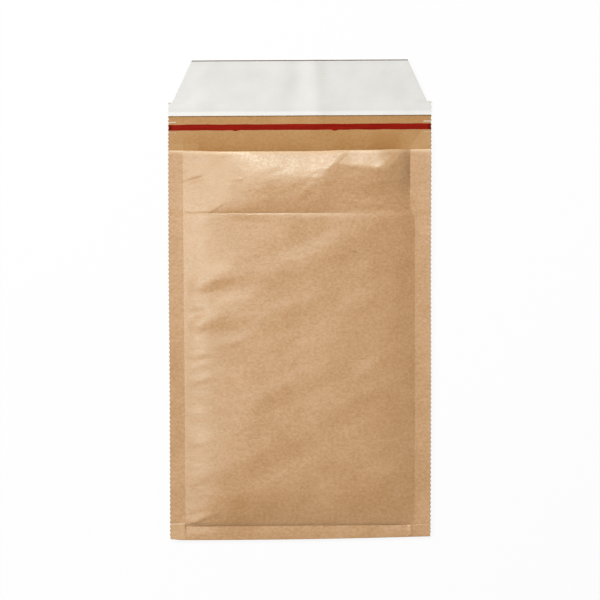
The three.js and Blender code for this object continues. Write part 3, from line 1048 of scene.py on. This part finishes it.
class MakeEnvelope(Maker, bpy.types.Operator):
    """Fold the kraft blank into the flap, back, front and hem, with its welded sides"""

    bl_idname = "mailer.make_envelope"
    bl_label = "Kraft envelope"

    def make(self, mailer, colours):
        scuff_and_highlight = []
        drawn = []

        def place(column, row):
            x = mailer.station(column, self.height_up(mailer, row))
            scuff_and_highlight.append(self.scuff_and_highlight(mailer, x, row))
            drawn.extend(self.drawn(mailer, x, row))
            return mailer.set_down(*self.folded(mailer, x, row))

        sheet = grid("kraft_sheet", self.columns(mailer), self.rows(mailer), place)
        # the paper's paleness: partly scuffing, partly painted highlight
        scuff_and_highlight_mask = sheet.data.attributes.new("scuff_and_highlight", "FLOAT", "POINT")
        scuff_and_highlight_mask.data.foreach_set("value", scuff_and_highlight)
        lines = sheet.data.attributes.new("drawn", "FLOAT_VECTOR", "POINT")
        lines.data.foreach_set("vector", drawn)
        self.cut_slits(mailer, sheet)
        kraft = kraft_finish("kraft_outside", colours.kraft, 0.23, 0.41, 1.0, folded=True)
        coated = kraft_finish("kraft_inside", colours.kraft_inside, 0.17, 0.5, 0.3)
        for material in (kraft, coated, edge_finish(colours.kraft)):
            sheet.data.materials.append(material)
        thicken(sheet, mailer.paper, inner=1, rim=2)
        smooth(sheet, 40)
        hand_in(sheet, "kraft_envelope")

    def columns(self, mailer):
        """Stations across the blank, closest where the panels rise from the welds."""
        closer = mailer.seal_edge - 14
        middle = spread(0, closer, 22)
        edge = [*spread(closer, mailer.seal_edge - 0.3, 10)[1:], mailer.seal_edge]
        weld = spread(mailer.seal_edge + 0.3, mailer.half - SLIT_LENGTH, 3)
        tab = [mailer.half - 3, mailer.half - 1.2, mailer.half]
        right = middle + edge + weld + tab
        return [-x for x in reversed(right[1:])] + right

    def rows(self, mailer):
        """Rows of the blank, from the flap's tip down the back, up the front and into the hem."""
        slits = zip(mailer.slits, SLIT_WIDTHS)
        cuts = [y + side * width / 2 for y, width in slits for side in (-1, 1)]
        creases = [BOTTOM_STRIP, mailer.crease]
        grooves = [crease + off for crease in creases for off in (-0.3, 0, 0.3)]
        tip = spread(mailer.shoulder + 0.25, mailer.length, 16)
        bottom = [mailer.weld(0) / 2, 1.1]
        teeth = self.toothed_rows(mailer.shoulder, 2, cuts, 0.35)
        back = sorted([*bottom, *teeth, *cuts, mailer.shoulder - 0.05, *tip], reverse=True)
        teeth = self.toothed_rows(mailer.body - 1.4, 3, creases, 0.75)
        front = sorted([*bottom, *teeth, *grooves])
        hem = [y for y in reversed(front) if y > mailer.crease + 0.5] + [mailer.crease]
        bend = spread(0, 1, 6)
        return (
            [("back", y) for y in back]
            + [("bottom", t) for t in bend[1:-1]]
            + [("front", y) for y in front]
            + [("lip", t) for t in bend]
            + [("hem", y) for y in hem]
        )

    def toothed_rows(self, end, parts, lines, clear):
        """Rows up the serrated edge, so many to each tooth, with none close to the lines."""
        step = TOOTH_PITCH / parts
        rows = [CORNER_CUT + i * step for i in range(int((end - CORNER_CUT) / step) + 1)]
        return [y for y in rows if all(abs(y - line) > clear for line in lines)]

    def height_up(self, mailer, row):
        where, value = row
        return {"bottom": 0, "lip": mailer.body}.get(where, value)

    def drawn(self, mailer, x, row):
        """Place of a point in the drawing, and how deep it is in a notch, which sets the painted shade
        there.
        """
        where, value = row
        y = {"back": -1000, "hem": 1000}.get(where, self.height_up(mailer, row))
        depth = 0
        if abs(x) >= mailer.half and where in ("front", "back") and value < mailer.shoulder:
            depth = 0.25 + 0.75 * (mailer.tooth(value) / TOOTH_DEPTH) ** 2
        return x, y, depth

    def scuff_and_highlight(self, mailer, x, row):
        """How pale the paper is made, partly by scuffing and partly as painted highlight: on the lip's
        fold and just below it, on the bottom fold, on the left weld beside the bottom strip, and on
        the crests of the taller folds.
        """
        where, value = row
        if where == "lip":
            return smoothstep(value, 0.9, 0.3)
        if where == "bottom":
            return 0.7
        if where != "front":
            return 0
        crest = 0.55 if x < -mailer.seal_edge and value < BOTTOM_STRIP + 1.2 else 0
        for start, end, reach, height in CREASES:
            if height > 0.3:
                crest += fold(x, value, start, end, reach / 2, 0.7, sharp=True)
        return clamp(crest + smoothstep(value, mailer.body - 3, mailer.body - 1))

    def folded(self, mailer, x, row):
        """Place of the sheet's outer face at one crossing of the blank."""
        where, value = row
        if where == "back":
            return mailer.cut(x, value), value, mailer.back_face(x, value)
        if where == "front":
            return mailer.cut(x, value), value, mailer.front_face(x, value)
        if where == "bottom":
            radius = mailer.weld(0) / 2
            angle = math.pi * (1.5 - value)
            y = radius + radius * math.cos(angle)
            return mailer.cut(x, y), y, SEAL_LIFT + radius + radius * math.sin(angle)
        if where == "lip":
            radius = mailer.paper + mailer.front_pad_space(x, mailer.body) / 2
            angle = math.pi * (0.5 - value)
            y = mailer.body - radius + radius * math.cos(angle)
            z = mailer.front_face(x, mailer.body) - radius + radius * math.sin(angle)
            return mailer.cut(x, y), y, z
        depth = 2 * mailer.paper + mailer.front_pad_space(x, value)
        return mailer.cut(x, value), value, mailer.front_face(x, value) - depth

    def cut_slits(self, mailer, sheet):
        """Opens the slits beside the tear tape at both sides."""
        select(sheet)
        bpy.ops.object.mode_set(mode="EDIT")
        bpy.ops.mesh.select_mode(type="FACE")
        bpy.ops.mesh.select_all(action="DESELECT")
        bpy.ops.object.mode_set(mode="OBJECT")
        inner = mailer.half - SLIT_LENGTH
        for face in sheet.data.polygons:
            x, y, _ = face.center / METRES
            near = [slit for slit in mailer.slits if abs(self.level(mailer, x, y) - slit) < 0.05]
            face.select = bool(near) and abs(x) > inner
        bpy.ops.object.mode_set(mode="EDIT")
        bpy.ops.mesh.delete(type="FACE")
        bpy.ops.object.mode_set(mode="OBJECT")

    def level(self, mailer, x, y):
        """Back from the frame to the height on the blank, at the flap's root."""
        shift = mailer.set_down(x, mailer.slits[0], 0).y / METRES - mailer.slits[0]
        return y - shift


class MakeLining(Maker, bpy.types.Operator):
    """Lay out the bubble film flat, then fold it into the pocket"""

    bl_idname = "mailer.make_lining"
    bl_label = "Bubble lining"

    def make(self, mailer, colours):
        self.bottom = BOTTOM_STRIP + FILM_BOTTOM
        self.back_top = mailer.body - FILM_TOP_BACK
        self.front_top = mailer.body - FILM_TOP_FRONT
        self.turn = self.back_top - self.bottom
        self.reach = self.turn + self.front_top - self.bottom
        web = self.flat_film(mailer)
        bubbles = self.flat_bubbles(mailer)
        for piece in (web, bubbles):
            for vertex in piece.data.vertices:
                vertex.co = mailer.set_down(*self.folded(mailer, *vertex.co))
        thicken(web, FILM_SHEET, offset=0, even=False)
        web.data.materials.append(film_finish(colours.film, 0.42))
        bubbles.data.materials.append(web.data.materials[0])
        select(web, bubbles)
        bpy.ops.object.join()
        smooth(web, 50)
        hand_in(web, "bubble_lining")

    def flat_film(self, mailer):
        edge = mailer.half - TOOTH_DEPTH - 0.3
        inner = spread(-mailer.seal_edge, mailer.seal_edge, 44)
        columns = [-edge, *inner, edge]
        rows = spread(0, self.reach, 190)
        return grid("bubble_web", columns, rows, lambda x, s: Vector((x, s, 0)))

    def flat_bubbles(self, mailer):
        """One bubble, repeated over the web in staggered rows."""
        half = mailer.seal_edge - BUBBLE_MARGIN
        across = int(2 * half / BUBBLE_PITCH)
        row_pitch = BUBBLE_PITCH * math.sqrt(3) / 2
        along = int((self.reach - 2 * BUBBLE_RADIUS) / (2 * row_pitch))
        start = -BUBBLE_PITCH * (across - 1) / 2 - BUBBLE_PITCH / 4
        rows = []
        for odd in (0, 1):
            bubble = self.one_bubble()
            place = Vector((start + odd * BUBBLE_PITCH / 2, BUBBLE_RADIUS + 0.6 + odd * row_pitch, 0))
            for vertex in bubble.data.vertices:
                vertex.co += place
            for count, step in ((across, (BUBBLE_PITCH, 0, 0)), (along, (0, 2 * row_pitch, 0))):
                apply_modifier(
                    bubble,
                    "ARRAY",
                    count=count,
                    use_relative_offset=False,
                    use_constant_offset=True,
                    constant_offset_displace=step,
                )
            rows.append(bubble)
        select(*rows)
        bpy.ops.object.join()
        return rows[0]

    def one_bubble(self):
        """A domed blister with a flat top, from the upper half of a sphere."""
        deselect()
        bpy.ops.mesh.primitive_uv_sphere_add(segments=BUBBLE_SIDES, ring_count=6, radius=1)
        bubble = bpy.context.object
        bpy.ops.object.mode_set(mode="EDIT")
        bpy.ops.mesh.select_all(action="SELECT")
        bpy.ops.mesh.bisect(
            plane_co=(0, 0, 0), plane_no=(0, 0, 1), clear_inner=True, use_fill=True, threshold=1e-4
        )
        bpy.ops.object.mode_set(mode="OBJECT")
        for vertex in bubble.data.vertices:
            level = clamp(vertex.co.z)
            wide = BUBBLE_RADIUS * self.widened(level)
            vertex.co.x *= wide
            vertex.co.y *= wide
            vertex.co.z = level
        return bubble

    def widened(self, level):
        """How much wider than the sphere the blister is at a level."""
        if level < 0.01:
            return 1
        if level >= 0.999:
            return 0
        return (1 - level**3) ** (1 / 3) / math.sqrt(1 - level**2)

    def folded(self, mailer, x, s, outwards):
        """From the flat web to the pocket. outwards goes from the inner film, 0, to the kraft, 1."""
        if s < self.turn:
            y = self.back_top - s
            face, inwards, space = mailer.back_face(x, y), 1, mailer.pad_space(x, y)
        else:
            y = self.bottom + s - self.turn
            face, inwards, space = mailer.front_face(x, y), -1, mailer.front_pad_space(x, y)
        gap = min(FILM_GAP, CRUSHED_SHARE * space)
        deep = mailer.paper + gap + (space - 2 * gap) * (1 - outwards)
        return x, y, face + inwards * deep


class MakeTape(Maker, bpy.types.Operator):
    """Stick the red tear tape across the flap's root"""

    bl_idname = "mailer.make_tape"
    bl_label = "Tear tape"

    def make(self, mailer, colours):
        start, end = mailer.tape
        columns = spread(-mailer.half + 0.45, mailer.half - 0.45, 130)

        def place(x, t):
            y = start + (end - start) * t + 0.22 * wobble(x, 40 * t, 9, 30, 0, 5.5)
            y -= sum(0.8 * (1 - t) * bell(x, spur, 1.6) for spur in TAPE_SPURS)
            z = mailer.back_face(x, y) + mailer.paper + 0.13 + 0.05 * math.sin(math.pi * t)
            return mailer.set_down(x, y, z)

        tape = grid("tear_tape_film", columns, spread(0, 1, 6), place)
        solid_sheet(tape, tape_finish(colours.tape), 0.1, 40)
        hand_in(tape, "tear_tape")


class MakeGlue(Maker, bpy.types.Operator):
    """Spread the adhesive band across the flap"""

    bl_idname = "mailer.make_glue"
    bl_label = "Adhesive band"

    def make(self, mailer, colours):
        low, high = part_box("adhesive_band")
        start, end = mailer.extent("adhesive_band")
        columns = spread(low.x / METRES, high.x / METRES, 90)

        def place(x, t):
            y = start + (end - start) * t + 0.5 * wobble(x, 60 * t, 14, 30, 0, 2.1)
            body = crowned(min(t, 1 - t), 0.08)
            bead = 0.05 * math.cos(t * math.pi * 2 * 9)
            z = mailer.back_face(x, y) + mailer.paper + 0.08 + body * (0.26 + bead)
            return mailer.set_down(x, y, z)

        band = grid("adhesive", columns, spread(0, 1, 54), place)
        solid_sheet(band, glue_finish(colours.glue), 0.06, 50)
        hand_in(band, "adhesive_band")


class MakeLiner(Maker, bpy.types.Operator):
    """Lay the white release liner over the adhesive"""

    bl_idname = "mailer.make_liner"
    bl_label = "Release liner"

    def make(self, mailer, colours):
        start, end = mailer.extent("release_liner")
        glue_start, glue_end = mailer.extent("adhesive_band")
        columns = spread(-mailer.half, mailer.half, 96)

        def place(x, t):
            shoulder = (mailer.shoulder - start) / (end - start)
            y = start + (end - start) * t
            if abs(t - shoulder) < 0.012:
                y = mailer.shoulder + (0.2 if t > shoulder else -0.05)
            stuck = smoothstep(y, glue_start - 4, glue_start) * smoothstep(y, glue_end + 4, glue_end)
            lift = 0.5 + 0.1 * stuck + LINER_LIFT * (1 - smoothstep(y, start, start + 3))
            curl = 0.15 * smoothstep(abs(x), mailer.side(y) - 8, mailer.side(y))
            z = mailer.back_face(x, y) + mailer.paper + lift + curl
            return mailer.set_down(mailer.cut(x, y), y, z)

        liner = grid("liner_strip", columns, spread(0, 1, 48), place)
        solid_sheet(liner, liner_finish(colours.liner), 0.15, 40)
        hand_in(liner, "release_liner")


STEPS = [MakeStage, MakeEnvelope, MakeLining, MakeTape, MakeGlue, MakeLiner]


class MailerPanel(bpy.types.Panel):
    """Sizes, colours and steps of the mailer"""

    bl_idname = "VIEW3D_PT_mailer"
    bl_label = "Padded Mailer"
    bl_space_type = "VIEW_3D"
    bl_region_type = "UI"
    bl_category = "Mailer"

    def draw(self, context):
        layout = self.layout
        for group in (context.scene.mailer_sizes, context.scene.mailer_colours):
            box = layout.box()
            for name in group.__annotations__:
                box.prop(group, name)
        for step in STEPS:
            layout.operator(step.bl_idname)


CLASSES = [MailerSizes, MailerColours, *STEPS, MailerPanel]


def register():
    for cls in CLASSES:
        bpy.utils.register_class(cls)
    bpy.types.Scene.mailer_sizes = bpy.props.PointerProperty(type=MailerSizes)
    bpy.types.Scene.mailer_colours = bpy.props.PointerProperty(type=MailerColours)


def unregister():
    del bpy.types.Scene.mailer_colours
    del bpy.types.Scene.mailer_sizes
    for cls in reversed(CLASSES):
        bpy.utils.unregister_class(cls)


def main():
    register()
    bpy.ops.mailer.make_stage()
    bpy.ops.mailer.make_envelope()
    bpy.ops.mailer.make_lining()
    bpy.ops.mailer.make_tape()
    bpy.ops.mailer.make_glue()
    bpy.ops.mailer.make_liner()


if __name__ == "__main__":
    main()
